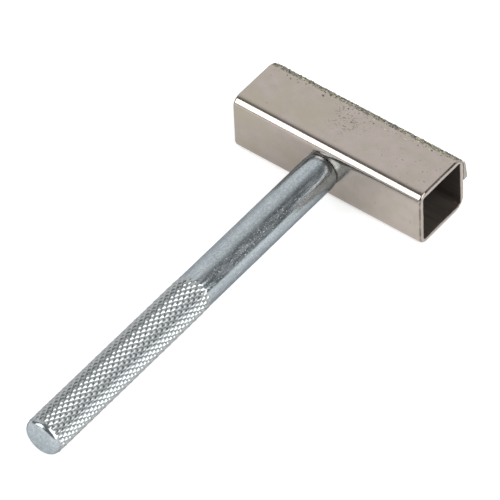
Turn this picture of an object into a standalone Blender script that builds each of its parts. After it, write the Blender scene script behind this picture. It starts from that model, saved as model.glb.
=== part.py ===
# Hand-held diamond wheel dresser: a square tube head with a diamond-coated front face,
# carried across the end of a round handle that is knurled at its far half.
#
# Frame: X runs along the head, +Y from the butt of the handle to the diamond face, +Z up.
# The origin is the middle of the head's flat underside. All lengths are in metres.

import math
import random

import bmesh
import bpy
from mathutils import Vector

# Head: a drawn square tube, open at both ends
HEAD_LENGTH = 0.0460
TUBE_DEPTH = 0.0144
TUBE_HEIGHT = 0.0138
TUBE_WALL = 0.0012
BACK_CORNER_RADIUS = 0.0022
FRONT_CORNER_RADIUS = 0.0026
BORE_CORNER_RADIUS = 0.0006
END_EDGE_ROUNDING = 0.0005
BORE_EDGE_BREAK = 0.0002
CORNER_SEGMENTS = 8

# Handle: one turned rod, from its shoulder against the head to its butt
SHANK_RADIUS = 0.0040
HANDLE_LENGTH = 0.0868
SHANK_LENGTH = 0.0396
SHOULDER_ROUND_RADIAL = 0.0006
SHOULDER_ROUND_AXIAL = 0.0018
BUTT_ROUND_RADIAL = 0.0010
BUTT_ROUND_AXIAL = 0.0011
ROUND_SEGMENTS = 5
# The rod was set a little to the left of the head's middle and a little above it
HANDLE_SIDE_OFFSET = -0.0009
HANDLE_RISE = 0.0004

# Knurl: two crossing families of V grooves, which leave square-based pyramids
KNURL_STARTS = 22
KNURL_AXIAL_PITCH = 0.00198
KNURL_CREST_RISE = 0.00018
KNURL_DEPTH = 0.00034
KNURL_RUN_OUT = 0.0004
KNURL_END_RUN_OUT = 0.0001
# The knurling wheels were fed in, so the first rows are shallow
KNURL_FEED_ROWS = 2

# Spigot: the turned-down end that passes the back wall and is peened over inside
SPIGOT_RADIUS = 0.0030
PEEN_RADIUS = 0.0041
PEEN_THICKNESS = 0.0011

# Diamond coat: grit plated on to the front face. It stands out most at mid-height, like a
# long low cushion, and thins out to its tips, where the long corners of the tube turn.
COAT_CROWN = 0.00113
COAT_HALF_SPREAD = 0.0055
COAT_TIP_THICKNESS = 0.00015
COAT_WRAP_ANGLE = math.radians(8)
COAT_WRAP_STEPS = 2
COAT_END_MARGIN = 0.0012
COAT_LEFT_MARGIN = 0.0003
COAT_CELL = 0.00072
GRIT_ROUGHNESS = 0.00013
# The lip of plating that reaches the right end covers the upper part of the face only
LIP_END_MARGIN = 0.00005
LIP_LOWER_EDGE = 0.0069
LIP_FADE = 0.0012

# Clearance between two pieces that seat on each other
SEAT_GAP = 0.00025


def clear_scene():
    for old in list(bpy.data.objects):
        bpy.data.objects.remove(old, do_unlink=True)


def plain_material(name, colour, metallic, roughness):
    material = bpy.data.materials.new(name)
    material.use_nodes = True
    shader = material.node_tree.nodes["Principled BSDF"]
    shader.inputs["Base Color"].default_value = (*colour, 1.0)
    shader.inputs["Metallic"].default_value = metallic
    shader.inputs["Roughness"].default_value = roughness
    material.diffuse_color = (*colour, 1.0)
    return material


def add_object(name, bm, material, sharp_angle):
    """Curved faces are shaded smooth, true flats and grains stay flat."""
    mesh = bpy.data.meshes.new(name)
    for face in bm.faces:
        face.smooth = max(abs(part) for part in face.normal) < 0.99999
    bm.to_mesh(mesh)
    bm.free()
    mesh.materials.append(material)
    mesh.set_sharp_from_angle(angle=sharp_angle)
    obj = bpy.data.objects.new(name, mesh)
    bpy.context.scene.collection.objects.link(obj)
    return obj


def rounded_section(depth, height, front_radius, back_radius):
    """Points (y, z) round a rectangle with rounded corners, centred on the tube's axis."""
    corners = [
        (1, 1, front_radius),
        (-1, 1, back_radius),
        (-1, -1, back_radius),
        (1, -1, front_radius),
    ]
    points = []
    for quarter, (side_y, side_z, radius) in enumerate(corners):
        centre_y = side_y * (depth / 2 - radius)
        centre_z = side_z * (height / 2 - radius)
        for step in range(CORNER_SEGMENTS + 1):
            angle = math.pi / 2 * (quarter + step / CORNER_SEGMENTS)
            y = centre_y + radius * math.cos(angle)
            z = centre_z + radius * math.sin(angle)
            points.append((y, z))
    return points


def section_loop(bm, points, x, centre_z):
    verts = [bm.verts.new((x, y, centre_z + z)) for y, z in points]
    edges = [bm.edges.new((a, b)) for a, b in zip(verts, verts[1:] + verts[:1])]
    return edges


def end_loop_edges(bm, points, centre_z):
    """The edges at either end of the tube that lie on the given section."""
    wanted = {(round(y, 7), round(centre_z + z, 7)) for y, z in points}
    found = []
    for edge in bm.edges:
        if abs(edge.verts[0].co.x - edge.verts[1].co.x) > 1e-7:
            continue
        if all((round(v.co.y, 7), round(v.co.z, 7)) in wanted for v in edge.verts):
            found.append(edge)
    return found


def make_head_tube(material):
    outer = rounded_section(TUBE_DEPTH, TUBE_HEIGHT, FRONT_CORNER_RADIUS, BACK_CORNER_RADIUS)
    bore_depth = TUBE_DEPTH - 2 * TUBE_WALL
    bore_height = TUBE_HEIGHT - 2 * TUBE_WALL
    bore = rounded_section(bore_depth, bore_height, BORE_CORNER_RADIUS, BORE_CORNER_RADIUS)
    centre_z = TUBE_HEIGHT / 2
    bm = bmesh.new()
    # One ring-shaped section, then drawn out to the length of the head
    ring_edges = section_loop(bm, outer, -HEAD_LENGTH / 2, centre_z)
    ring_edges += section_loop(bm, bore, -HEAD_LENGTH / 2, centre_z)
    ring = bmesh.ops.bridge_loops(bm, edges=ring_edges)["faces"]
    drawn = bmesh.ops.extrude_face_region(bm, geom=ring, use_keep_orig=True)["geom"]
    moved = [v for v in drawn if isinstance(v, bmesh.types.BMVert)]
    bmesh.ops.translate(bm, verts=moved, vec=(HEAD_LENGTH, 0, 0))
    bmesh.ops.recalc_face_normals(bm, faces=bm.faces)
    # Deburred ends: a small rounding outside and a thin break along the bore
    bmesh.ops.bevel(
        bm,
        geom=end_loop_edges(bm, outer, centre_z),
        offset=END_EDGE_ROUNDING,
        offset_type="OFFSET",
        segments=3,
        profile=0.5,
        affect="EDGES",
    )
    bmesh.ops.bevel(
        bm,
        geom=end_loop_edges(bm, bore, centre_z),
        offset=BORE_EDGE_BREAK,
        offset_type="OFFSET",
        segments=1,
        profile=0.5,
        affect="EDGES",
    )
    return add_object("head_tube", bm, material, math.radians(32))


def drill_spigot_hole(tube):
    """The round hole in the back wall that the handle's spigot passes."""
    drill_length = TUBE_WALL * 3
    bm = bmesh.new()
    bmesh.ops.create_cone(
        bm,
        cap_ends=True,
        segments=2 * KNURL_STARTS,
        radius1=SPIGOT_RADIUS + SEAT_GAP,
        radius2=SPIGOT_RADIUS + SEAT_GAP,
        depth=drill_length,
    )
    mesh = bpy.data.meshes.new("spigot_drill")
    bm.to_mesh(mesh)
    bm.free()
    drill = bpy.data.objects.new("spigot_drill", mesh)
    bpy.context.scene.collection.objects.link(drill)
    drill.rotation_euler = (-math.pi / 2, 0, 0)
    wall_middle = -TUBE_DEPTH / 2 + TUBE_WALL / 2
    drill.location = (HANDLE_SIDE_OFFSET, wall_middle, TUBE_HEIGHT / 2 + HANDLE_RISE)
    drill.hide_render = True
    drill.display_type = "WIRE"
    cut = tube.modifiers.new("spigot_hole", "BOOLEAN")
    cut.operation = "DIFFERENCE"
    cut.solver = "EXACT"
    cut.object = drill


def quarter_round(radial, axial):
    """Steps (inward, along) of an elliptical edge rounding, from the face to the side."""
    steps = []
    for step in range(ROUND_SEGMENTS + 1):
        angle = math.pi / 2 * step / ROUND_SEGMENTS
        steps.append((radial * (1 - math.sin(angle)), axial * (1 - math.cos(angle))))
    return steps


def lathe_ring(bm, height, radii):
    """A ring of vertices at one height, with the radii taken in turn round it."""
    count = 2 * KNURL_STARTS
    ring = []
    for index in range(count):
        angle = 2 * math.pi * index / count
        radius = radii[index % len(radii)]
        ring.append(bm.verts.new((radius * math.cos(angle), radius * math.sin(angle), height)))
    return ring


def skin_rings(bm, upper, lower):
    """Faces between two rings, the upper one nearer the head."""
    count = len(upper)
    for index in range(count):
        after = (index + 1) % count
        bm.faces.new((upper[index], lower[index], lower[after], upper[after]))


def skin_knurl(bm, upper, lower, row):
    """The two facets of each cell, split along the groove that crosses it."""
    count = len(upper)
    for index in range(count):
        after = (index + 1) % count
        a, b, c, d = upper[index], lower[index], lower[after], upper[after]
        if (index + row) % 2 == 0:
            bm.faces.new((a, b, c))
            bm.faces.new((a, c, d))
        else:
            bm.faces.new((a, b, d))
            bm.faces.new((b, c, d))


def make_handle(material):
    """Turned about its own Z axis: 0 at the shoulder, up into the head, down to the butt."""
    bm = bmesh.new()
    wall_inside = SEAT_GAP + TUBE_WALL
    peen_foot = wall_inside + SEAT_GAP
    peen_top = peen_foot + PEEN_THICKNESS
    rings = []
    # Peened head inside the tube, domed by the hammer
    rings.append((peen_top, PEEN_RADIUS * 0.45))
    rings.append((peen_top - PEEN_THICKNESS * 0.12, PEEN_RADIUS * 0.75))
    rings.append((peen_top - PEEN_THICKNESS * 0.45, PEEN_RADIUS * 0.96))
    rings.append((peen_foot + PEEN_THICKNESS * 0.2, PEEN_RADIUS))
    rings.append((peen_foot, PEEN_RADIUS * 0.97))
    rings.append((peen_foot, SPIGOT_RADIUS))
    rings.append((0.0, SPIGOT_RADIUS))
    for inward, along in quarter_round(SHOULDER_ROUND_RADIAL, SHOULDER_ROUND_AXIAL):
        rings.append((-along, SHANK_RADIUS - inward))
    rings.append((-SHANK_LENGTH, SHANK_RADIUS))
    row_step = KNURL_AXIAL_PITCH / 2
    knurl_top = SHANK_LENGTH + KNURL_RUN_OUT
    knurl_room = HANDLE_LENGTH - BUTT_ROUND_AXIAL - KNURL_END_RUN_OUT - knurl_top
    rows = int(knurl_room / row_step + 1e-6)
    previous = None
    first = None
    for height, radius in rings:
        ring = lathe_ring(bm, height, (radius,))
        if previous is None:
            first = ring
        else:
            skin_rings(bm, previous, ring)
        previous = ring
    # Rows of pyramid tips and groove crossings, half a groove out of step from row to row
    for row in range(rows + 1):
        fed_in = min(1.0, (row + 1) / (KNURL_FEED_ROWS + 1))
        crest = SHANK_RADIUS + KNURL_CREST_RISE * fed_in
        valley = crest - KNURL_DEPTH * fed_in
        radii = (crest, valley) if row % 2 == 0 else (valley, crest)
        ring = lathe_ring(bm, -(knurl_top + row * row_step), radii)
        if row == 0:
            skin_rings(bm, previous, ring)
        else:
            skin_knurl(bm, previous, ring, row)
        previous = ring
    for inward, along in reversed(quarter_round(BUTT_ROUND_RADIAL, BUTT_ROUND_AXIAL)):
        ring = lathe_ring(bm, -(HANDLE_LENGTH - along), (SHANK_RADIUS - inward,))
        skin_rings(bm, previous, ring)
        previous = ring
    bm.faces.new(first)
    bm.faces.new(list(reversed(previous)))
    bmesh.ops.recalc_face_normals(bm, faces=bm.faces)
    handle = add_object("handle", bm, material, math.radians(24))
    handle.rotation_euler = (-math.pi / 2, 0, 0)
    shoulder_y = -TUBE_DEPTH / 2 - SEAT_GAP
    handle.location = (HANDLE_SIDE_OFFSET, shoulder_y, TUBE_HEIGHT / 2 + HANDLE_RISE)
    return handle


def coat_stations():
    """Points round the coat's section, from the lower tip to the upper one.

    Each is (y, z, outward y, outward z, height of the coat) on the tube's skin.
    """
    half_y = TUBE_DEPTH / 2 - FRONT_CORNER_RADIUS
    half_z = TUBE_HEIGHT / 2 - FRONT_CORNER_RADIUS
    centre_z = TUBE_HEIGHT / 2
    flat_steps = max(4, round(2 * half_z / COAT_CELL))
    arc = []
    for step in range(COAT_WRAP_STEPS, 0, -1):
        angle = COAT_WRAP_ANGLE * step / COAT_WRAP_STEPS
        out_y = math.cos(angle)
        out_z = math.sin(angle)
        y = half_y + FRONT_CORNER_RADIUS * out_y
        z = half_z + FRONT_CORNER_RADIUS * out_z
        arc.append((y, z, out_y, out_z, coat_height(half_z + FRONT_CORNER_RADIUS * angle)))
    lower = [(y, centre_z - z, out_y, -out_z, rise) for y, z, out_y, out_z, rise in arc]
    upper = [(y, centre_z + z, out_y, out_z, rise) for y, z, out_y, out_z, rise in arc]
    flat = []
    for step in range(flat_steps + 1):
        z = -half_z + 2 * half_z * step / flat_steps
        flat.append((TUBE_DEPTH / 2, centre_z + z, 1.0, 0.0, coat_height(abs(z))))
    return lower + flat + list(reversed(upper))


def coat_height(from_middle):
    """How far the coat's outside stands off the tube, by distance along it from mid-height."""
    fullness = max(0.0, 1 - from_middle / COAT_HALF_SPREAD)
    return max(SEAT_GAP + COAT_TIP_THICKNESS, COAT_CROWN * math.sqrt(fullness))


def coat_right_end(z):
    """Where the coat ends on the right: at the lip above, a margin short of the end below."""
    blend = (z - (LIP_LOWER_EDGE - LIP_FADE / 2)) / LIP_FADE
    blend = min(1.0, max(0.0, blend))
    margin = COAT_END_MARGIN + (LIP_END_MARGIN - COAT_END_MARGIN) * blend
    return HEAD_LENGTH / 2 - margin


def make_diamond_face(material):
    """A cushion of grit on the front of the tube, its inner side parallel to the tube."""
    stations = coat_stations()
    left = -HEAD_LENGTH / 2 + COAT_LEFT_MARGIN
    columns = round((HEAD_LENGTH - COAT_LEFT_MARGIN - COAT_END_MARGIN) / COAT_CELL)
    grains = random.Random(5)
    bm = bmesh.new()
    outside = []
    inside = []
    for index, (y, z, out_y, out_z, rise) in enumerate(stations):
        right = coat_right_end(z)
        at_tip = index in (0, len(stations) - 1)
        skin = []
        for column in range(columns + 1):
            along = left + (right - left) * column / columns
            lift = grains.uniform(-0.5, 0.5) * GRIT_ROUGHNESS
            if at_tip or column in (0, columns):
                lift = 0.0
            off = rise + lift
            skin.append(bm.verts.new((along, y + out_y * off, z + out_z * off)))
        outside.append(skin)
        seat = Vector((0, y + out_y * SEAT_GAP, z + out_z * SEAT_GAP))
        inside.append([bm.verts.new(seat + Vector((x, 0, 0))) for x in (left, right)])
    for skin, over, seat, above in zip(outside, outside[1:], inside, inside[1:]):
        for column in range(columns):
            a, b = skin[column], skin[column + 1]
            c, d = over[column + 1], over[column]
            # The grains are angular, so each cell is broken across one diagonal or the other
            if grains.random() < 0.5:
                bm.faces.new((a, b, c))
                bm.faces.new((a, c, d))
            else:
                bm.faces.new((a, b, d))
                bm.faces.new((b, c, d))
        bm.faces.new((seat[1], seat[0], above[0], above[1]))
        bm.faces.new((seat[0], skin[0], over[0], above[0]))
        bm.faces.new((skin[-1], seat[1], above[1], over[-1]))
    bm.faces.new([inside[0][0], inside[0][1]] + list(reversed(outside[0])))
    bm.faces.new([inside[-1][1], inside[-1][0]] + outside[-1])
    bmesh.ops.recalc_face_normals(bm, faces=bm.faces)
    return add_object("diamond_face", bm, material, math.radians(6))


def build():
    clear_scene()
    nickel = plain_material("nickel_plate", (0.47, 0.43, 0.39), 1.0, 0.3)
    zinc = plain_material("zinc_plate", (0.50, 0.55, 0.58), 1.0, 0.32)
    grit = plain_material("diamond_grit", (0.17, 0.17, 0.13), 0.2, 0.75)
    tube = make_head_tube(nickel)
    drill_spigot_hole(tube)
    make_handle(zinc)
    make_diamond_face(grit)


build()
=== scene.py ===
import math
import random

import bmesh
import bpy
from mathutils import Matrix, Vector
from mathutils.noise import noise_vector


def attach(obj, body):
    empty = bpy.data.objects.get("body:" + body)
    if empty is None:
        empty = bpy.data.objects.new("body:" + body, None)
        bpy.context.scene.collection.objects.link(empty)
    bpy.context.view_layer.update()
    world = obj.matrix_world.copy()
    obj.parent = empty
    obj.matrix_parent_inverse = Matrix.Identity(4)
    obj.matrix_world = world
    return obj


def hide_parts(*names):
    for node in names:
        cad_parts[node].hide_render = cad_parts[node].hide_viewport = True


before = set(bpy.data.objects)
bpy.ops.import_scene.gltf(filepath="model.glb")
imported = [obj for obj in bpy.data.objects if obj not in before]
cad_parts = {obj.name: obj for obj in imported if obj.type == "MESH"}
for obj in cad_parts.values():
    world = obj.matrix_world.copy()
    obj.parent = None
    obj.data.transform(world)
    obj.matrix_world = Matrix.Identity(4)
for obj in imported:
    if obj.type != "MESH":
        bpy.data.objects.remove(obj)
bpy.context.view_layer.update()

# Diamond wheel dresser. X runs along the head, +Y from the butt of the handle to the
# diamond face, +Z up. Lengths are in metres.
# noise_vector starts from the clock, so the bore's edge and the edge of the grit differ a little
# from one run to the next.

MM = 0.001
# Points closer than this count as one
SAME_PLACE = 0.001 * MM

# Head: a drawn square tube, nickel-plated outside
HEAD_LENGTH = 46.0 * MM
TUBE_DEPTH = 14.4 * MM
TUBE_HEIGHT = 13.8 * MM
TUBE_WALL = 1.2 * MM
BACK_CORNER_RADIUS = 2.2 * MM
FRONT_CORNER_RADIUS = 2.9 * MM
BORE_CORNER_RADIUS = 0.55 * MM
END_ROUNDING = 0.5 * MM
BORE_BREAK = 0.2 * MM
# The bore's edge wanders a little, like one that was deburred by hand
BORE_WAVE = 0.09 * MM
BORE_WAVE_LENGTH = 2.4 * MM
BORE_WAVE_CUTS = 9
CORNER_STEPS = 16
MID_HEIGHT = TUBE_HEIGHT / 2

# Handle: one turned and knurled rod
AXIS_X = -0.9 * MM
AXIS_Z = 7.3 * MM
SHOULDER_Y = -7.24 * MM
SHANK_RADIUS = 4.0 * MM
HANDLE_LENGTH = 87.0 * MM
SHANK_LENGTH = 40.1 * MM
SHOULDER_ROUND_RADIAL = 0.4 * MM
SHOULDER_ROUND_AXIAL = 2.0 * MM
BUTT_ROUND_RADIAL = 1.0 * MM
BUTT_ROUND_AXIAL = 1.1 * MM
SPIGOT_RADIUS = 3.0 * MM
SPIGOT_HOLE_RADIUS = 3.25 * MM
PEEN_RADIUS = 4.1 * MM
PEEN_THICKNESS = 1.1 * MM
PEEN_FOOT = 1.5 * MM

KNURL_STARTS = 22
KNURL_ROWS = 46
KNURL_AXIAL_PITCH = 1.97 * MM
KNURL_CREST_RISE = 0.18 * MM
KNURL_DEPTH = 0.35 * MM
KNURL_RUN_OUT = 0.35 * MM
# The first rows are shallow, as where knurling wheels are fed in
KNURL_FEED_ROWS = 2
RIDGE_SHARPNESS = 5
# How much of each flank's rise follows a sine, which rounds the pyramid into a dome
DOME_SHARE = 0.45
# Mesh steps to half a groove pitch, both round the rod and along it
KNURL_FINENESS = 4
# The grip's finish comes in and goes out between these places along the handle
GRIP_FINISH_FROM = -47.2 * MM
GRIP_FINISH_TO = -48.2 * MM
BUTT_FINISH_FROM = -93.6 * MM
BUTT_FINISH_TO = -93.0 * MM

# Diamond coat on the front face: a low cushion with a feathered edge round each long corner
COAT_CROWN = 1.13 * MM
COAT_HALF_SPREAD = 5.5 * MM
COAT_FEATHER = 0.05 * MM
COAT_FEATHER_FROM = 5.0 * MM
COAT_FEATHER_TO = 7.6 * MM
COAT_EDGE = 7.75 * MM
COAT_ROUGHNESS = 0.10 * MM
COAT_CELL = 0.26 * MM
COAT_END_MARGIN = 1.2 * MM
COAT_LEFT_MARGIN = 0.3 * MM
COAT_ROOT = 0.12 * MM
# Its upper half runs on to the right end as a lip
LIP_END_MARGIN = 0.08 * MM
LIP_LOWER_EDGE = 6.6 * MM
LIP_FADE = 0.25 * MM
FEATHER_END_MARGIN = 0.5 * MM

FACE_GRAINS = 2400
EDGE_GRAINS = 3300
STRAY_GRAINS = 200
# Grain sizes: the smallest, and how much larger the largest are
GRAIN_SMALLEST = 0.10 * MM
GRAIN_SPREAD = 0.24 * MM
ABOUT_A_TURN = 6.28
# How far the grit by the long edges reaches, how far its edge wanders in and out, and the length
# of each wave with the row of the noise that it reads
EDGE_REACH = 2.0 * MM
EDGE_WANDER = 0.75 * MM
EDGE_WANDER_LENGTHS = ((2.5 * MM, 0), (0.7 * MM, 5))

# Middle of a cluster of pinholes in the plating of the top face
PIT_CLUSTER = Vector((-0.8, 1.8, 13.8)) * MM


# Small helpers

def linear(hex_colour):
    """An sRGB hex colour as linear red, green, blue and 1."""
    parts = [int(hex_colour[i:i + 2], 16) / 255 for i in (1, 3, 5)]
    return tuple(c / 12.92 if c <= 0.04045 else ((c + 0.055) / 1.055) ** 2.4 for c in parts) + (1.0,)


def deselect_all():
    if bpy.context.object and bpy.context.object.mode != "OBJECT":
        bpy.ops.object.mode_set(mode="OBJECT")
    bpy.ops.object.select_all(action="DESELECT")


def work_on(obj):
    deselect_all()
    obj.select_set(True)
    bpy.context.view_layer.objects.active = obj


def named(name):
    obj = bpy.context.object
    obj.name = name
    obj.data.name = name
    return obj


def pick(obj, edges=None, faces=None):
    """Selects, in edit mode, the edges or the faces of a mesh that the test accepts."""
    bpy.ops.mesh.select_all(action="DESELECT")
    bpy.ops.mesh.select_mode(type="EDGE" if edges else "FACE")
    bm = bmesh.from_edit_mesh(obj.data)
    if edges:
        for edge in bm.edges:
            edge.select = edges(edge)
    if faces:
        for face in bm.faces:
            face.select = faces(face)
    bm.select_flush_mode()
    bmesh.update_edit_mesh(obj.data)


def apply_modifiers(obj):
    work_on(obj)
    for modifier in list(obj.modifiers):
        bpy.ops.object.modifier_apply(modifier=modifier.name)


# Shaders

def new_material(name):
    material = bpy.data.materials.new(name)
    material.use_nodes = True
    tree = material.node_tree
    return material, tree, tree.nodes["Principled BSDF"]


def set_inputs(tree, node, inputs):
    """Sets a node's inputs. A dict names them, a list fills them in order. An output is linked."""
    pairs = inputs.items() if isinstance(inputs, dict) else enumerate(inputs)
    for name, value in pairs:
        if isinstance(value, bpy.types.NodeSocket):
            tree.links.new(value, node.inputs[name])
        else:
            node.inputs[name].default_value = value


def add_node(tree, kind, inputs=(), output=0, stops=(), **settings):
    """Adds a shader node, with its colour stops if it has any, and gives one output or all."""
    node = tree.nodes.new("ShaderNode" + kind)
    for name, value in settings.items():
        setattr(node, name, value)
    set_inputs(tree, node, inputs)
    for index, (position, colour) in enumerate(stops):
        # A new colour ramp has two stops already
        element = node.color_ramp.elements[index] if index < 2 else node.color_ramp.elements.new(1.0)
        element.position = position
        element.color = colour
    return node.outputs if output is None else node.outputs[output]


def nickel_plate():
    """Electroplated nickel on a drawn tube: a satin mirror, warm grey, faintly clouded."""
    material, tree, shader = new_material("nickel_plate")
    place = add_node(tree, "TexCoord", output="Object")
    x, y, z = add_node(tree, "SeparateXYZ", [place], output=None)
    cloud_size = 2.6 * MM
    clouds = add_node(
        tree, "TexNoise",
        {"Vector": place, "Scale": 1 / cloud_size, "Detail": 3.0, "Roughness": 0.55},
    )
    tint = add_node(
        tree, "ValToRGB", [clouds],
        stops=[(0.36, linear("#b1a89f")), (0.50, linear("#b4aba3")), (0.64, linear("#b8ada7"))],
    )

    # A faint straw tint in large patches, stronger towards the left end, where it is also painted shade for
    # that end's dimmer reflection
    patch_size = 9 * MM
    towards_left = add_node(tree, "MapRange", [x, 3 * MM, -9 * MM, 0.15, 0.60])
    patches = add_node(tree, "TexNoise", {"Vector": place, "Scale": 1 / patch_size, "Detail": 1.0})
    straw_and_shade = add_node(tree, "MapRange", [patches, 0.42, 0.58, 0.0, towards_left])

    # Pinholes in the plating: a cluster on the top's middle, more towards the right end.
    # They are drawn coarser than real ones, to show
    pinhole_size = 0.46 * MM
    pinhole_place = add_node(tree, "Mapping", {"Vector": place, "Scale": (0.8, 1.0, 0.2)})
    pinholes = add_node(
        tree, "TexNoise",
        {"Vector": pinhole_place, "Scale": 1 / pinhole_size, "Detail": 2.5},
    )
    off_centre = add_node(tree, "VectorMath", [place, PIT_CLUSTER], output="Value", operation="DISTANCE")
    cluster = add_node(tree, "MapRange", [off_centre, 5.5 * MM, 1.5 * MM, 0.0, 0.11])
    crowd = add_node(tree, "MapRange", [x, -6 * MM, 21 * MM, 0.0, 0.045])
    crowd = add_node(tree, "Math", [crowd, cluster], operation="ADD")
    raised = add_node(tree, "Math", [pinholes, crowd], operation="ADD")
    on_top = add_node(tree, "MapRange", [z, 12.8 * MM, 13.6 * MM, 0.15, 1.0])
    pits = add_node(tree, "MapRange", [raised, 0.70, 0.76, 0.0, on_top])

    # Curved marks among the pinholes of the cluster, where a noise is near its middle value
    curve_size = 1.5 * MM
    curve_place = add_node(tree, "Mapping", {"Vector": place, "Scale": (1.0, 1.3, 1.0)})
    curves = add_node(tree, "TexNoise", {"Vector": curve_place, "Scale": 1 / curve_size, "Detail": 1.5})
    off_line = add_node(tree, "Math", [curves, 0.5], operation="SUBTRACT")
    off_line = add_node(tree, "Math", [off_line], operation="ABSOLUTE")
    gap_size = 0.9 * MM
    gaps = add_node(tree, "TexNoise", {"Vector": place, "Scale": 1 / gap_size, "Detail": 1.0})
    in_cluster = add_node(tree, "MapRange", [off_centre, 5.0 * MM, 3.0 * MM, 0.0, on_top])
    broken = add_node(tree, "MapRange", [gaps, 0.50, 0.58, 0.0, in_cluster])
    marks = add_node(tree, "MapRange", [off_line, 0.024, 0.010, 0.0, broken])
    marks = add_node(tree, "Math", [marks, 0.7], operation="MULTIPLY")

    # Light specks, like plating that has grown round dust
    dust_size = 0.30 * MM
    dust = add_node(tree, "TexNoise", {"Vector": place, "Scale": 1 / dust_size, "Detail": 1.0})
    dust = add_node(tree, "MapRange", [dust, 0.74, 0.80, 0.0, 0.6])

    # Beside the grit the plating is mottled in dark olive and pale patches
    towards_top = add_node(tree, "MapRange", [z, 12.0 * MM, 13.0 * MM, 0.0, 0.15])
    beside_grit = add_node(tree, "MapRange", [y, 4.9 * MM, 6.3 * MM, 0.0, towards_top])
    by_edge = add_node(tree, "MapRange", [y, 4.8 * MM, 5.2 * MM])
    mottles = []
    for size, stretch, low, high, most in (
        (0.60 * MM, (1.0, 1.4, 1.0), 0.60, 0.68, 0.75),
        (0.42 * MM, (0.8, 1.0, 1.0), 0.64, 0.70, 0.9),
    ):
        bumps_place = add_node(tree, "Mapping", {"Vector": place, "Scale": stretch})
        bumps = add_node(tree, "TexNoise", {"Vector": bumps_place, "Scale": 1 / size})
        bumps = add_node(tree, "Math", [bumps, beside_grit], operation="ADD")
        bumps = add_node(tree, "MapRange", [bumps, low, high, 0.0, most])
        mottles.append(add_node(tree, "Math", [bumps, by_edge], operation="MULTIPLY"))
    pale_patches, dark_patches = mottles

    # The rounding at each cut end is darkened, unevenly, short of the end face
    from_middle = add_node(tree, "Math", [x], operation="ABSOLUTE")
    smear_size = 0.9 * MM
    smears = add_node(tree, "TexNoise", {"Vector": place, "Scale": 1 / smear_size, "Detail": 3.0})
    unevenly = add_node(tree, "MapRange", [smears, 0.35, 0.60, 0.25, 0.75])
    before_face = add_node(tree, "MapRange", [from_middle, 22.985 * MM, 22.93 * MM, 0.0, unevenly])
    end_line = add_node(tree, "MapRange", [from_middle, 22.64 * MM, 22.80 * MM, 0.0, before_face])

    for share, colour in (
        (straw_and_shade, "#b0a896"),
        (pits, "#6b625b"),
        (marks, "#7d736b"),
        (dust, "#cfc8c2"),
        (pale_patches, "#cfcdb6"),
        (dark_patches, "#4d493a"),
        (end_line, "#4f4339"),
    ):
        inputs = {0: share, 6: tint, 7: linear(colour)}
        tint = add_node(tree, "Mix", inputs, output=2, data_type="RGBA")
    wave_length = 2.2 * MM
    waves = add_node(tree, "TexNoise", {"Vector": place, "Scale": 1 / wave_length})
    set_inputs(tree, shader, {
        "Base Color": tint,
        "Metallic": 1.0,
        "Roughness": add_node(tree, "MapRange", [clouds, 0.3, 0.7, 0.13, 0.17]),
        "Normal": add_node(tree, "Bump", {"Height": waves, "Distance": 0.02 * MM, "Strength": 0.5}),
    })
    return material


def bore_steel():
    """Bare drawn steel inside the tube: dull and dark, rusty by the right end's lower edge."""
    material, tree, shader = new_material("bore_steel")
    place = add_node(tree, "TexCoord", output="Object")
    x, y, z = add_node(tree, "SeparateXYZ", [place], output=None)
    # The drawing die leaves lines along the tube
    line_width = 0.5 * MM
    line_place = add_node(tree, "Mapping", {"Vector": place, "Scale": (0.06, 1.0, 1.0)})
    die_lines = add_node(tree, "TexNoise", {"Vector": line_place, "Scale": 1 / line_width, "Detail": 3.0})
    tint = add_node(
        tree, "ValToRGB", [die_lines],
        stops=[(0.36, linear("#413c37")), (0.66, linear("#4f4842"))],
    )
    patch_size = 0.6 * MM
    patches = add_node(tree, "TexNoise", {"Vector": place, "Scale": 1 / patch_size, "Detail": 3.0})
    near_floor = add_node(tree, "MapRange", [z, 5.0 * MM, 1.5 * MM])
    near_end = add_node(tree, "MapRange", [x, 20.5 * MM, 22.7 * MM, 0.0, near_floor])
    rust = add_node(tree, "MapRange", [patches, 0.60, 0.68, 0.0, near_end])
    inputs = {0: rust, 6: tint, 7: linear("#7a5644")}
    tint = add_node(tree, "Mix", inputs, output=2, data_type="RGBA")
    set_inputs(tree, shader, {
        "Base Color": tint,
        "Metallic": 0.3,
        "Roughness": 0.55,
    })
    return material


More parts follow.
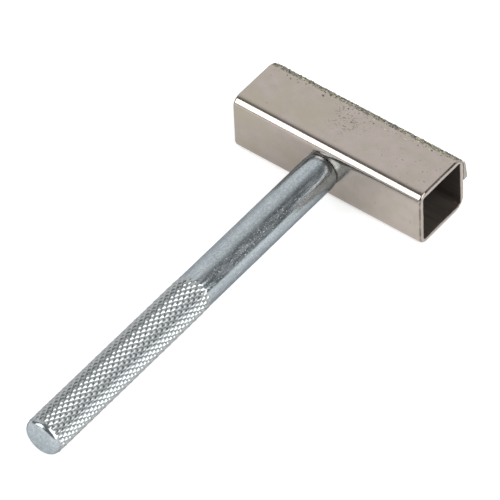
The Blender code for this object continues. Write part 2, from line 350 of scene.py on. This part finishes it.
def zinc_plate():
    """Bright zinc plating on a turned rod: bluish white, with streaks along the rod."""
    material, tree, shader = new_material("zinc_plate")
    place = add_node(tree, "TexCoord", output="Object")
    across, along, up = add_node(tree, "SeparateXYZ", [place], output=None)
    streak_width = 0.75 * MM
    streak_place = add_node(tree, "Mapping", {"Vector": place, "Scale": (1.0, 0.14, 1.0)})
    streaks = add_node(
        tree, "TexNoise",
        {"Vector": streak_place, "Scale": 1 / streak_width, "Detail": 4.0, "Roughness": 0.6},
    )
    tint = add_node(
        tree, "ValToRGB", [streaks],
        stops=[(0.36, linear("#a5adb2")), (0.62, linear("#b5bdc2"))],
    )

    # Mottling: the deposit's crystals, a little darker or paler, drawn much coarser to show
    mottle_size = 0.30 * MM
    mottle_place = add_node(tree, "Mapping", {"Vector": place, "Scale": (1.0, 0.6, 1.0)})
    mottle = add_node(
        tree, "TexNoise",
        {"Vector": mottle_place, "Scale": 1 / mottle_size, "Detail": 2.0, "Roughness": 0.6},
    )
    darker = add_node(tree, "MapRange", [mottle, 0.52, 0.66, 0.0, 0.55])
    paler = add_node(tree, "MapRange", [mottle, 0.46, 0.36, 0.0, 0.5])

    # Rougher spots of the deposit scatter the light: pale specks where the rod mirrors the
    # dark. They come in patches, and hardly any sit by the head
    speck_size = 0.25 * MM
    patch_size = 2.4 * MM
    off_the_head = add_node(tree, "MapRange", [along, -13 * MM, -21 * MM, 0.1, 1.0])
    patches = add_node(tree, "TexNoise", {"Vector": place, "Scale": 1 / patch_size, "Detail": 1.0})
    in_patches = add_node(tree, "MapRange", [patches, 0.42, 0.58, 0.25, 1.0])
    often = add_node(tree, "Math", [in_patches, off_the_head], operation="MULTIPLY")
    speck_place = add_node(tree, "Mapping", {"Vector": place, "Scale": (1.0, 0.5, 1.0)})
    specks = add_node(tree, "TexNoise", {"Vector": speck_place, "Scale": 1 / speck_size})
    specks = add_node(tree, "MapRange", [specks, 0.60, 0.68, 0.0, often])

    # The grip: duller than the turned shank, above all on its crests, and a more neutral grey
    on_knurl = add_node(tree, "MapRange", [along, GRIP_FINISH_FROM, GRIP_FINISH_TO])
    on_grip = add_node(tree, "MapRange", [along, BUTT_FINISH_FROM, BUTT_FINISH_TO, 0.0, 0.65])
    neutral = add_node(tree, "Math", [on_knurl, on_grip], operation="MULTIPLY")
    section = add_node(tree, "CombineXYZ", {"X": across, "Z": up})
    from_axis = add_node(
        tree, "VectorMath", [section, (AXIS_X, 0.0, AXIS_Z)],
        output="Value", operation="DISTANCE",
    )
    crest = add_node(tree, "MapRange", [from_axis, SHANK_RADIUS, SHANK_RADIUS + 0.12 * MM, 0.22, 0.32])

    satin = add_node(tree, "MapRange", [streaks, 0.35, 0.65, 0.14, 0.25])
    by_shoulder = add_node(tree, "MapRange", [along, -10.2 * MM, -9.0 * MM])
    roughness = satin
    for share, rougher in ((by_shoulder, 0.26), (specks, 0.46), (on_knurl, crest)):
        roughness = add_node(tree, "Mix", {0: share, 2: roughness, 3: rougher}, data_type="FLOAT")
    for share, colour in ((darker, "#939d9e"), (paler, "#ccd6d6"), (neutral, "#b5b7b6")):
        inputs = {0: share, 6: tint, 7: linear(colour)}
        tint = add_node(tree, "Mix", inputs, output=2, data_type="RGBA")
    set_inputs(tree, shader, {
        "Base Color": tint,
        "Metallic": 1.0,
        "Roughness": roughness,
        # It mirrors less at a glancing angle, so both edges of the rod stay grey
        "Specular Tint": (0.45, 0.47, 0.50, 1.0),
        "Normal": add_node(tree, "Bump", {"Height": streaks, "Distance": 0.02 * MM, "Strength": 0.6}),
    })
    return material


def nickel_bond():
    """The nickel that holds the diamond: pale grey and rough, with painted shade between the nodules and a
    painted sheen on them, in step with their bump.
    """
    material, tree, shader = new_material("nickel_bond")
    place = add_node(tree, "TexCoord", output="Object")
    nodule_size = 0.22 * MM
    nodules = add_node(
        tree, "TexNoise",
        {"Vector": place, "Scale": 1 / nodule_size, "Detail": 3.0, "Roughness": 0.6},
    )
    # Painted shade and sheen: the tone follows the nodules' height, dark where low and pale where high
    tint = add_node(
        tree, "ValToRGB", [nodules],
        stops=[
            (0.36, linear("#37332a")),
            (0.46, linear("#7d7865")),
            (0.57, linear("#b6b19c")),
            (0.66, linear("#d8d2b4")),
        ],
    )
    # The lip at the right end is paler and less mottled
    lip_tint = add_node(
        tree, "ValToRGB", [nodules],
        stops=[(0.36, linear("#8f8a84")), (0.60, linear("#bcb7b1"))],
    )
    x = add_node(tree, "SeparateXYZ", [place], output="X")
    at_lip = add_node(tree, "MapRange", [x, 21.9 * MM, 22.3 * MM, 0.0, 0.85])
    tint = add_node(tree, "Mix", {0: at_lip, 6: tint, 7: lip_tint}, output=2, data_type="RGBA")
    set_inputs(tree, shader, {
        "Base Color": tint,
        "Metallic": 0.85,
        "Roughness": 0.42,
        "Normal": add_node(tree, "Bump", {"Height": nodules, "Distance": 0.05 * MM, "Strength": 0.8}),
    })
    return material


def diamond_crystal():
    """Uncut synthetic diamond: glassy grains, olive to straw yellow, mostly dark."""
    material, tree, shader = new_material("diamond_crystal")
    place = add_node(tree, "TexCoord", output="Object")
    # A few neighbouring grains share a colour
    group_size = 0.7 * MM
    groups = add_node(tree, "TexNoise", {"Vector": place, "Scale": 1 / group_size})
    tint = add_node(
        tree, "ValToRGB", [groups],
        stops=[
            (0.46, linear("#1b1914")),
            (0.54, linear("#37322a")),
            (0.59, linear("#8c8056")),
            (0.66, linear("#ece2b0")),
        ],
    )
    # The index is set below diamond's own 2.4, for the dull look of the coat
    set_inputs(tree, shader, {"Base Color": tint, "Metallic": 0.0, "Roughness": 0.18, "IOR": 2.0})
    return material


# The head

def make_head(plating, bare):
    """A block, rounded along its length and at its ends, then hollowed from end to end."""
    deselect_all()
    bpy.ops.mesh.primitive_cube_add(size=1, location=(0, 0, MID_HEIGHT))
    head = named("head_tube_plated")
    bpy.ops.transform.resize(value=(HEAD_LENGTH, TUBE_DEPTH, TUBE_HEIGHT))
    bpy.ops.object.transform_apply(location=True, rotation=True, scale=True)
    bpy.ops.object.mode_set(mode="EDIT")
    for at_front, radius in ((True, FRONT_CORNER_RADIUS), (False, BACK_CORNER_RADIUS)):
        def long_edge(edge):
            return reach_along(edge) > HEAD_LENGTH * 0.9 and (edge.verts[0].co.y > 0) == at_front
        pick(head, edges=long_edge)
        bpy.ops.mesh.bevel(offset=radius, segments=CORNER_STEPS, profile=0.5, affect="EDGES")
    pick(head, edges=on_end)
    bpy.ops.mesh.bevel(offset=END_ROUNDING, segments=5, profile=0.5, affect="EDGES")
    pick(head, faces=on_end)
    bpy.ops.mesh.inset(thickness=TUBE_WALL - END_ROUNDING, depth=0)
    bm = bmesh.from_edit_mesh(head.data)
    for vert in [v for v in bm.verts if v.select]:
        draw_in_bore_corner(vert)
    bmesh.update_edit_mesh(head.data)
    bpy.ops.mesh.delete(type="ONLY_FACE")
    pick(head, edges=lambda e: e.is_boundary and e.calc_length() > 2 * MM)
    bpy.ops.mesh.subdivide(number_cuts=BORE_WAVE_CUTS)
    bm = bmesh.from_edit_mesh(head.data)
    for vert in [v for v in bm.verts if v.is_boundary]:
        wander = noise_vector(vert.co / BORE_WAVE_LENGTH) * BORE_WAVE
        vert.co += Vector((0, wander.y, wander.z))
    bmesh.update_edit_mesh(head.data)
    pick(head, edges=lambda e: e.is_boundary)
    bpy.ops.mesh.bridge_edge_loops()
    pick(head, edges=lambda e: on_end(e) and any(reach_along(f) > HEAD_LENGTH * 0.99 for f in e.link_faces))
    bpy.ops.mesh.bevel(offset=BORE_BREAK, segments=3, profile=0.5, affect="EDGES")
    bpy.ops.mesh.select_all(action="SELECT")
    bpy.ops.mesh.normals_make_consistent(inside=False)
    bpy.ops.object.mode_set(mode="OBJECT")
    head.data.materials.append(plating)
    head.data.materials.append(bare)
    for face in head.data.polygons:
        outward = face.normal.y * face.center.y + face.normal.z * (face.center.z - MID_HEIGHT)
        face.material_index = 1 if outward < 0 and abs(face.normal.x) < 0.1 else 0
    drill_hole(head)
    work_on(head)
    bpy.ops.object.shade_smooth_by_angle(angle=math.radians(38))
    modifier = head.modifiers.new("true_flats", "WEIGHTED_NORMAL")
    modifier.keep_sharp = True
    modifier.weight = 100
    apply_modifiers(head)
    return head


def reach_along(part):
    """How far an edge or a face reaches along the head."""
    places = [vert.co.x for vert in part.verts]
    return max(places) - min(places)


def on_end(part):
    """True for an edge or a face that lies in the plane of either end."""
    off_end = abs(abs(part.verts[0].co.x) - HEAD_LENGTH / 2)
    return reach_along(part) < SAME_PLACE and off_end < SAME_PLACE


def draw_in_bore_corner(vert):
    """Moves a point of the inset outline to the bore's own, tighter corner."""
    side_y = math.copysign(1, vert.co.y)
    side_z = math.copysign(1, vert.co.z - MID_HEIGHT)
    outer_radius = FRONT_CORNER_RADIUS if side_y > 0 else BACK_CORNER_RADIUS
    from_y = abs(vert.co.y) - (TUBE_DEPTH / 2 - outer_radius)
    from_z = abs(vert.co.z - MID_HEIGHT) - (MID_HEIGHT - outer_radius)
    angle = math.atan2(from_z, from_y)
    half_y = TUBE_DEPTH / 2 - TUBE_WALL - BORE_CORNER_RADIUS
    half_z = MID_HEIGHT - TUBE_WALL - BORE_CORNER_RADIUS
    vert.co.y = side_y * (half_y + BORE_CORNER_RADIUS * math.cos(angle))
    vert.co.z = MID_HEIGHT + side_z * (half_z + BORE_CORNER_RADIUS * math.sin(angle))


def drill_hole(head):
    """The round hole in the back wall that the handle's spigot passes."""
    deselect_all()
    bpy.ops.mesh.primitive_cylinder_add(
        vertices=64,
        radius=SPIGOT_HOLE_RADIUS,
        depth=TUBE_WALL * 3,
        location=(AXIS_X, -TUBE_DEPTH / 2 + TUBE_WALL / 2, AXIS_Z),
        rotation=(math.pi / 2, 0, 0),
    )
    drill = named("spigot_drill")
    cut = head.modifiers.new("spigot_hole", "BOOLEAN")
    cut.operation = "DIFFERENCE"
    cut.solver = "EXACT"
    cut.object = drill
    apply_modifiers(head)
    bpy.data.objects.remove(drill, do_unlink=True)


# The handle

def handle_profile():
    """(distance from the shoulder, radius) from the peened head to the middle of the butt."""
    # The hammered head of the spigot, in shares of its thickness and its radius
    peen = [(1.0, 0.0), (1.0, 0.45), (0.88, 0.75), (0.55, 0.96), (0.2, 1.0), (0.0, 0.97)]
    points = [(PEEN_FOOT + PEEN_THICKNESS * rise, PEEN_RADIUS * reach) for rise, reach in peen]
    points += [(PEEN_FOOT, SPIGOT_RADIUS), (0.0, SPIGOT_RADIUS)]
    shoulder_steps = 12
    shank_steps = 12
    butt_steps = 9
    for inward, along in quarter_round(SHOULDER_ROUND_RADIAL, SHOULDER_ROUND_AXIAL, shoulder_steps):
        points.append((-along, SHANK_RADIUS - inward))
    for step in range(1, shank_steps + 1):
        share = step / shank_steps
        points.append((-SHOULDER_ROUND_AXIAL * (1 - share) - SHANK_LENGTH * share, SHANK_RADIUS))
    row_step = KNURL_AXIAL_PITCH / 2 / KNURL_FINENESS
    for row in range(KNURL_ROWS * KNURL_FINENESS + 1):
        points.append((-(SHANK_LENGTH + KNURL_RUN_OUT + row * row_step), SHANK_RADIUS))
    for inward, along in reversed(quarter_round(BUTT_ROUND_RADIAL, BUTT_ROUND_AXIAL, butt_steps)):
        points.append((-(HANDLE_LENGTH - along), SHANK_RADIUS - inward))
    points.append((-HANDLE_LENGTH, SHANK_RADIUS * 0.33))
    points.append((-HANDLE_LENGTH, 0.0))
    return points


def quarter_round(radial, axial, steps):
    """Steps (inward, along) of an elliptical edge rounding, from the face to the side."""
    rounding = []
    for step in range(steps + 1):
        angle = math.pi / 2 * step / steps
        rounding.append((radial * (1 - math.sin(angle)), axial * (1 - math.cos(angle))))
    return rounding


def make_handle(plating):
    """The turning profile, drawn point by point from one vertex and spun round the axis."""
    points = handle_profile()
    deselect_all()
    bpy.ops.mesh.primitive_plane_add(size=1 * MM, location=(0, 0, 0))
    handle = named("handle_knurled")
    bpy.ops.object.mode_set(mode="EDIT")
    bpy.ops.mesh.select_mode(type="VERT")
    bpy.ops.mesh.select_all(action="SELECT")
    bpy.ops.mesh.merge(type="CENTER")
    first_y, first_r = points[0]
    bpy.ops.transform.translate(value=(AXIS_X, SHOULDER_Y + first_y, AXIS_Z + first_r))
    for (y0, r0), (y1, r1) in zip(points, points[1:]):
        bpy.ops.mesh.extrude_region_move(TRANSFORM_OT_translate={"value": (0, y1 - y0, r1 - r0)})
    bpy.ops.mesh.select_all(action="SELECT")
    bpy.ops.mesh.spin(
        steps=2 * KNURL_STARTS * KNURL_FINENESS,
        angle=2 * math.pi,
        center=(AXIS_X, SHOULDER_Y, AXIS_Z),
        axis=(0, 1, 0),
        use_auto_merge=True,
    )
    bpy.ops.mesh.select_all(action="SELECT")
    bpy.ops.mesh.remove_doubles(threshold=SAME_PLACE)
    bpy.ops.mesh.normals_make_consistent(inside=False)
    cut_knurl(handle)
    bpy.ops.object.mode_set(mode="OBJECT")
    handle.data.materials.append(plating)
    work_on(handle)
    bpy.ops.object.shade_smooth_by_angle(angle=math.radians(40))
    return handle


def knurl_place(x, y, z):
    """Turn round the rod and distance down the grip, both in half groove pitches."""
    angle = math.atan2(x - AXIS_X, z - AXIS_Z)
    down = SHOULDER_Y - y - SHANK_LENGTH - KNURL_RUN_OUT
    # A pyramid stands straight up from the axis in every odd row
    return angle, angle / math.pi * KNURL_STARTS + 1, down / (KNURL_AXIAL_PITCH / 2)


def on_grip(down):
    # The first and the last ring of the grip count too, whatever a mesh point is rounded to
    slack = 0.001
    return -slack < down < KNURL_ROWS + slack


def groove_distances(around, down):
    """Share of the way, from 0 to 1, out of the nearest groove of either family."""
    return abs((around + down) % 2 - 1), abs((around - down) % 2 - 1)


def cut_knurl(handle):
    """Presses the two crossing families of grooves into the rings of the grip."""
    crests = {}
    draw = random.Random(11)
    bm = bmesh.from_edit_mesh(handle.data)
    for vert in bm.verts:
        angle, around, down = knurl_place(*vert.co)
        if not on_grip(down):
            continue
        around = round(around * KNURL_FINENESS) / KNURL_FINENESS
        down = round(down * KNURL_FINENESS) / KNURL_FINENESS
        first, second = groove_distances(around, down)
        # Each pyramid is pressed up into a low dome, with its four ridges rounded
        walls = (1 - first) ** RIDGE_SHARPNESS + (1 - second) ** RIDGE_SHARPNESS
        low = max(0.0, 1 - walls ** (1 / RIDGE_SHARPNESS))
        low = (1 - DOME_SHARE) * low + DOME_SHARE * math.sin(low * math.pi / 2)
        pyramid = (round((around + down) / 2), round((around - down) / 2))
        if pyramid not in crests:
            crests[pyramid] = draw.uniform(0.84, 0.95)
        fed_in = min(1.0, (down + 1) / (KNURL_FEED_ROWS + 1))
        rise = KNURL_CREST_RISE - KNURL_DEPTH * (1 - min(low, crests[pyramid]))
        radius = SHANK_RADIUS + rise * fed_in
        vert.co.x = AXIS_X + radius * math.sin(angle)
        vert.co.z = AXIS_Z + radius * math.cos(angle)
    bmesh.update_edit_mesh(handle.data)
    # Each small quad is split along the groove that it belongs to
    for family, method in ((0, "FIXED"), (1, "FIXED_ALTERNATE")):
        def in_family(face):
            angle, around, down = knurl_place(*face.calc_center_median())
            if len(face.verts) != 4 or not 0 < down < KNURL_ROWS:
                return False
            first, second = groove_distances(around, down)
            return (first < second) == (family == 0)
        pick(handle, faces=in_family)
        bpy.ops.mesh.quads_convert_to_tris(quad_method=method, ngon_method="BEAUTY")


# The diamond coat

def tube_front(along_skin):
    """A place on the front of the tube, by distance along its section from mid-height.

    Gives y, z and the outward direction. Positive distances go up.
    """
    side = math.copysign(1, along_skin)
    half_flat = MID_HEIGHT - FRONT_CORNER_RADIUS
    turned = max(0.0, abs(along_skin) - half_flat) / FRONT_CORNER_RADIUS
    flat = min(abs(along_skin), half_flat)
    out = Vector((0, math.cos(turned), side * math.sin(turned)))
    corner = Vector((0, TUBE_DEPTH / 2 - FRONT_CORNER_RADIUS, MID_HEIGHT + side * flat))
    return corner + out * FRONT_CORNER_RADIUS, out


def coat_height(along_skin):
    """How far the coat stands off the tube. It dips under the skin past its ragged edge."""
    distance = abs(along_skin)
    cushion = COAT_CROWN * math.sqrt(max(0.0, 1 - distance / COAT_HALF_SPREAD))
    thinned = (COAT_FEATHER_TO - distance) / (COAT_FEATHER_TO - COAT_FEATHER_FROM)
    return max(cushion, COAT_FEATHER * thinned)


def coat_right_end(along_skin):
    """Where the coat stops on the right: at the lip above mid-height, short of the end below."""
    z = MID_HEIGHT + along_skin
    blend = min(1.0, max(0.0, (z - LIP_LOWER_EDGE) / LIP_FADE + 0.5))
    upper = LIP_END_MARGIN if along_skin < COAT_FEATHER_FROM else FEATHER_END_MARGIN
    margin = COAT_END_MARGIN + (upper - COAT_END_MARGIN) * blend
    return HEAD_LENGTH / 2 - margin


def make_coat(bond):
    """The plated cushion: a sheet laid round the front of the tube, roughened, ends turned in."""
    rows = round(2 * COAT_EDGE / COAT_CELL)
    columns = round(HEAD_LENGTH / COAT_CELL)
    deselect_all()
    bpy.ops.mesh.primitive_grid_add(x_subdivisions=columns, y_subdivisions=rows, size=2)
    coat = named("diamond_coat")
    draw = random.Random(7)
    bpy.ops.object.mode_set(mode="EDIT")
    bm = bmesh.from_edit_mesh(coat.data)
    left = -HEAD_LENGTH / 2 + COAT_LEFT_MARGIN
    # Two columns at either end turn in: down the end face, then back under the coat
    turned_in = 2
    full = columns - 2 * turned_in
    for vert in bm.verts:
        column = round((vert.co.x + 1) / 2 * columns)
        along_skin = vert.co.y * COAT_EDGE
        place, out = tube_front(along_skin)
        right = coat_right_end(along_skin)
        beyond = max(turned_in - column, column - turned_in - full, 0)
        step = min(max(column - turned_in, 0), full)
        x = left + (right - left) * step / full
        height = coat_height(along_skin) + draw.uniform(-0.5, 0.5) * COAT_ROUGHNESS
        if beyond == 0:
            x += draw.uniform(-0.5, 0.5) * COAT_CELL * 0.5 * (0 < step < full)
        elif beyond == 1:
            height = min(0.02 * MM, height)
        else:
            height = -COAT_ROOT
            x -= math.copysign(0.4 * MM, x)
        vert.co = Vector((x, 0, 0)) + place + out * height
    bmesh.update_edit_mesh(coat.data)
    bpy.ops.mesh.select_all(action="SELECT")
    bpy.ops.mesh.quads_convert_to_tris(quad_method="SHORTEST_DIAGONAL", ngon_method="BEAUTY")
    bpy.ops.mesh.normals_make_consistent(inside=False)
    bpy.ops.object.mode_set(mode="OBJECT")
    coat.data.materials.append(bond)
    return coat


def make_crystal():
    """One grain: a cube with four corners cut off, unevenly."""
    deselect_all()
    bpy.ops.mesh.primitive_cube_add(size=1.5)
    crystal = named("crystal")
    bpy.ops.object.mode_set(mode="EDIT")
    cuts = (((1, 0.9, 1), 0.85), ((-0.8, 1, -1), 0.8), ((1, -1, -0.7), 0.9), ((-1, -0.9, 0.8), 0.75))
    for direction, depth in cuts:
        bpy.ops.mesh.select_all(action="SELECT")
        flat = Vector(direction).normalized()
        bpy.ops.mesh.bisect(plane_co=flat * depth, plane_no=flat, use_fill=True, clear_outer=True)
    bpy.ops.object.mode_set(mode="OBJECT")
    return crystal


def grain_seat(draw, index, x):
    """Where a grain sits along the tube's skin: on the face, by the long edges or beyond them."""
    if index < FACE_GRAINS:
        return draw.uniform(-1, 1) * COAT_FEATHER_FROM
    side = 1 if draw.random() < 0.55 else -1
    if index < FACE_GRAINS + EDGE_GRAINS:
        # The edge of the coat wanders in and out along the tube
        ragged = sum(noise_vector(Vector((x / length, side, row))).x for length, row in EDGE_WANDER_LENGTHS)
        reach = EDGE_REACH + EDGE_WANDER * ragged
        return side * (COAT_FEATHER_FROM + draw.random() * reach + abs(draw.gauss(0, 0.2 * MM)))
    return side * draw.uniform(COAT_FEATHER_TO - 0.6 * MM, COAT_FEATHER_TO + 1.4 * MM)


def make_grains(diamond):
    """Diamond grains: one cut crystal, copied over the coat and along its two edges."""
    crystal = make_crystal()
    corners = [vert.co.copy() for vert in crystal.data.vertices]
    facets = [tuple(face.vertices) for face in crystal.data.polygons]
    skin_length = MID_HEIGHT - FRONT_CORNER_RADIUS + FRONT_CORNER_RADIUS * math.pi / 2
    draw = random.Random(3)
    points = []
    faces = []
    for index in range(FACE_GRAINS + EDGE_GRAINS + STRAY_GRAINS):
        x = draw.uniform(-HEAD_LENGTH / 2 + COAT_LEFT_MARGIN, HEAD_LENGTH / 2)
        along_skin = grain_seat(draw, index, x)
        if x > coat_right_end(min(along_skin, COAT_EDGE)) - 0.1 * MM:
            continue
        on_flat = max(0.0, abs(along_skin) - skin_length)
        if on_flat and along_skin < 0:
            continue
        place, out = tube_front(math.copysign(min(abs(along_skin), skin_length), along_skin))
        place.y -= on_flat
        size = GRAIN_SMALLEST + GRAIN_SPREAD * draw.random() ** 2
        height = max(0.0, coat_height(along_skin)) - size * 0.5
        if on_flat:
            height = -size * 0.45
        place += out * height
        place.x = x
        turn = Matrix.Rotation(draw.uniform(0, ABOUT_A_TURN), 4, "X")
        turn = turn @ Matrix.Rotation(draw.uniform(0, ABOUT_A_TURN), 4, "Z")
        shape = Matrix.Diagonal((size, size * draw.uniform(0.7, 1.0), size * draw.uniform(0.6, 0.9), 1))
        laid = Matrix.Translation(place) @ turn @ shape
        first = len(points)
        grain = [laid @ corner for corner in corners]
        if min(point.z for point in grain) < 0:
            continue
        points.extend(grain)
        faces.extend(tuple(first + i for i in facet) for facet in facets)
    mesh = bpy.data.meshes.new("diamond_grains")
    mesh.from_pydata(points, [], faces)
    mesh.materials.append(diamond)
    grains = bpy.data.objects.new("diamond_grains", mesh)
    bpy.context.scene.collection.objects.link(grains)
    bpy.data.objects.remove(crystal, do_unlink=True)
    return grains


# Studio

# The tool rests on the lower back edge of its head and the lower edge of its butt
REST_SLOPE = math.radians(2.1)
FLOOR_PAINT = 0.74
FLOOR_GLOW_SEEN = 0.60
FLOOR_GLOW_MIRRORED = 0.24
# Painted light: pools of glow on the floor, seen only in the metal's reflections
FLOOR_GLOW_BY_HEAD = 0.37
FLOOR_GLOW_PAST_BUTT = 0.42
# The side of the room that the metal mirrors: a large pale wall, beyond the tool from the camera
WALL_DIRECTION = Vector((-0.60, 0.60, 0.53)).normalized()
WALL_TONES = [
    (0.45, 0.19),
    (0.58, 0.18),
    (0.70, 0.40),
    (0.80, 0.74),
    (0.87, 0.87),
    (0.92, 0.92),
    (1.0, 0.99),
]


def grey(level):
    return (level, level, level, 1.0)


def make_floor():
    """A white sweep. It glows for the camera and, more faintly, in the metal's reflections."""
    deselect_all()
    bpy.ops.mesh.primitive_plane_add(size=6, location=(0, 0, 0))
    floor = named("floor")
    slope = Matrix.Rotation(-REST_SLOPE, 4, "X")
    contact = Vector((0, -TUBE_DEPTH / 2 + BACK_CORNER_RADIUS, 0))
    floor.data.transform(Matrix.Translation(contact) @ slope)
    material, tree, shader = new_material("white_sweep")
    tree.nodes.remove(shader)
    ray = add_node(tree, "LightPath", output=None)
    # In the metal's reflections the floor glows brighter beside the head, on the right, and past the butt:
    # painted pools of light that the camera does not see
    place = add_node(tree, "TexCoord", output="Object")
    x, y, z = add_node(tree, "SeparateXYZ", [place], output=None)
    right_of_rod = add_node(
        tree, "MapRange", [x, 2 * MM, 14 * MM, FLOOR_GLOW_MIRRORED, FLOOR_GLOW_BY_HEAD]
    )
    by_head = add_node(tree, "MapRange", [y, -32 * MM, -20 * MM, 0.0, right_of_rod])
    past_butt = add_node(
        tree, "MapRange", [y, -90 * MM, -97 * MM, FLOOR_GLOW_MIRRORED, FLOOR_GLOW_PAST_BUTT]
    )
    mirrored = add_node(tree, "Math", [by_head, past_butt], operation="MAXIMUM")
    in_metal = add_node(tree, "Math", [ray["Is Glossy Ray"], mirrored], operation="MULTIPLY")
    seen = add_node(tree, "Math", [ray["Is Camera Ray"], FLOOR_GLOW_SEEN], operation="MULTIPLY")
    level = add_node(tree, "Math", [seen, in_metal], operation="ADD")
    glow = add_node(tree, "Emission", {"Strength": level})
    paint = add_node(tree, "BsdfDiffuse", {"Color": grey(FLOOR_PAINT)})
    both = add_node(tree, "AddShader", [paint, glow])
    set_inputs(tree, tree.nodes["Material Output"], {"Surface": both})
    floor.data.materials.append(material)


def make_world():
    """White for the camera. The metal mirrors a dim room with a pale wall and horizon."""
    world = bpy.data.worlds.new("studio")
    bpy.context.scene.world = world
    world.use_nodes = True
    tree = world.node_tree
    direction = add_node(tree, "TexCoord", output="Generated")
    across, ahead, height = add_node(tree, "SeparateXYZ", [direction], output=None)
    towards_wall = add_node(
        tree, "VectorMath", [direction, WALL_DIRECTION],
        output="Value", operation="DOT_PRODUCT",
    )
    room = add_node(
        tree, "ValToRGB", [towards_wall],
        stops=[(position, grey(level)) for position, level in WALL_TONES],
    )
    beyond = add_node(tree, "MapRange", [ahead, 0.62, 0.78, 0.0, 0.85])
    room = add_node(tree, "Math", [room, beyond], operation="MAXIMUM")
    above_horizon = add_node(tree, "MapRange", [height, 0.015, 0.05])
    inputs = {0: above_horizon, 6: grey(0.95), 7: room}
    room = add_node(tree, "Mix", inputs, output=2, data_type="RGBA")
    seen = add_node(tree, "LightPath", output="Is Camera Ray")
    colour = add_node(tree, "Mix", {0: seen, 6: room, 7: grey(1.0)}, output=2, data_type="RGBA")
    set_inputs(tree, tree.nodes["Background"], {"Color": colour, "Strength": 1.0})


def add_softbox(name, direction, distance, size, radiance, aim=(0, 0, 0.008)):
    """An even area light of the given size, radiance and place, turned to the object."""
    light = bpy.data.lights.new(name, "AREA")
    light.shape = "RECTANGLE"
    light.size, light.size_y = size
    light.energy = radiance * math.pi * size[0] * size[1]
    obj = bpy.data.objects.new(name, light)
    bpy.context.scene.collection.objects.link(obj)
    way = Vector(direction).normalized()
    obj.location = Vector(aim) + way * distance
    obj.rotation_mode = "QUATERNION"
    obj.rotation_quaternion = (-way).to_track_quat("-Z", "Y")
    obj.visible_camera = False
    return obj


def make_camera():
    """The photograph's camera, from the edges of the tube and the handle."""
    azimuth = math.radians(39.884)
    elevation = math.radians(46.797)
    roll = math.radians(-2.759)
    # The focal length and the origin's place in the picture are in its pixels
    picture = 500
    focal = 5773.824
    origin_pixel = (348.786, 175.991)
    distance = 1.13765
    back = Vector((
        math.sin(azimuth) * math.cos(elevation),
        -math.cos(azimuth) * math.cos(elevation),
        math.sin(elevation),
    ))
    forward = -back
    right = forward.cross(Vector((0, 0, 1))).normalized()
    up = right.cross(forward)
    level = Matrix((right, -up, forward))
    world_to_view = Matrix.Rotation(roll, 3, "Z") @ level
    off_centre = [(pixel - picture / 2) / focal for pixel in origin_pixel]
    origin = Vector((*off_centre, 1.0)) * distance
    data = bpy.data.cameras.new("camera")
    data.sensor_width = 36.0
    data.lens = focal / picture * data.sensor_width
    data.clip_start = 0.05
    data.clip_end = 20
    camera = bpy.data.objects.new("camera", data)
    bpy.context.scene.collection.objects.link(camera)
    placed = Matrix((world_to_view[0], -world_to_view[1], -world_to_view[2])).transposed().to_4x4()
    placed.translation = -(world_to_view.transposed() @ origin)
    camera.matrix_world = placed
    bpy.context.scene.camera = camera


# Build

nickel = nickel_plate()
bore = bore_steel()
zinc = zinc_plate()
bond = nickel_bond()
diamond = diamond_crystal()

head = make_head(nickel, bore)
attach(head, "root")
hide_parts("head_tube")

handle = make_handle(zinc)
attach(handle, "root")
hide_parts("handle")

coat = make_coat(bond)
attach(coat, "root")
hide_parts("diamond_face")

grains = make_grains(diamond)
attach(grains, "root")

make_floor()
make_world()
make_camera()
add_softbox("front_softbox", (-0.43, -0.72, 0.54), 0.6, (0.30, 0.425), 3.6)
add_softbox("front_low_panel", (-0.43, -0.89, 0.12), 0.6, (0.34, 0.20), 0.45)
add_softbox("right_softbox", (0.80, -0.06, 0.58), 0.7, (0.64, 0.86), 2.8)
add_softbox("low_softbox", (0.98, -0.04, 0.16), 0.7, (0.46, 0.20), 1.0)
add_softbox("edge_strip", (0.77, 0.54, 0.33), 0.13, (0.012, 0.005), 4.0, aim=(-0.0009, -0.0125, 0.0073))

bpy.context.scene.view_settings.view_transform = "Standard"
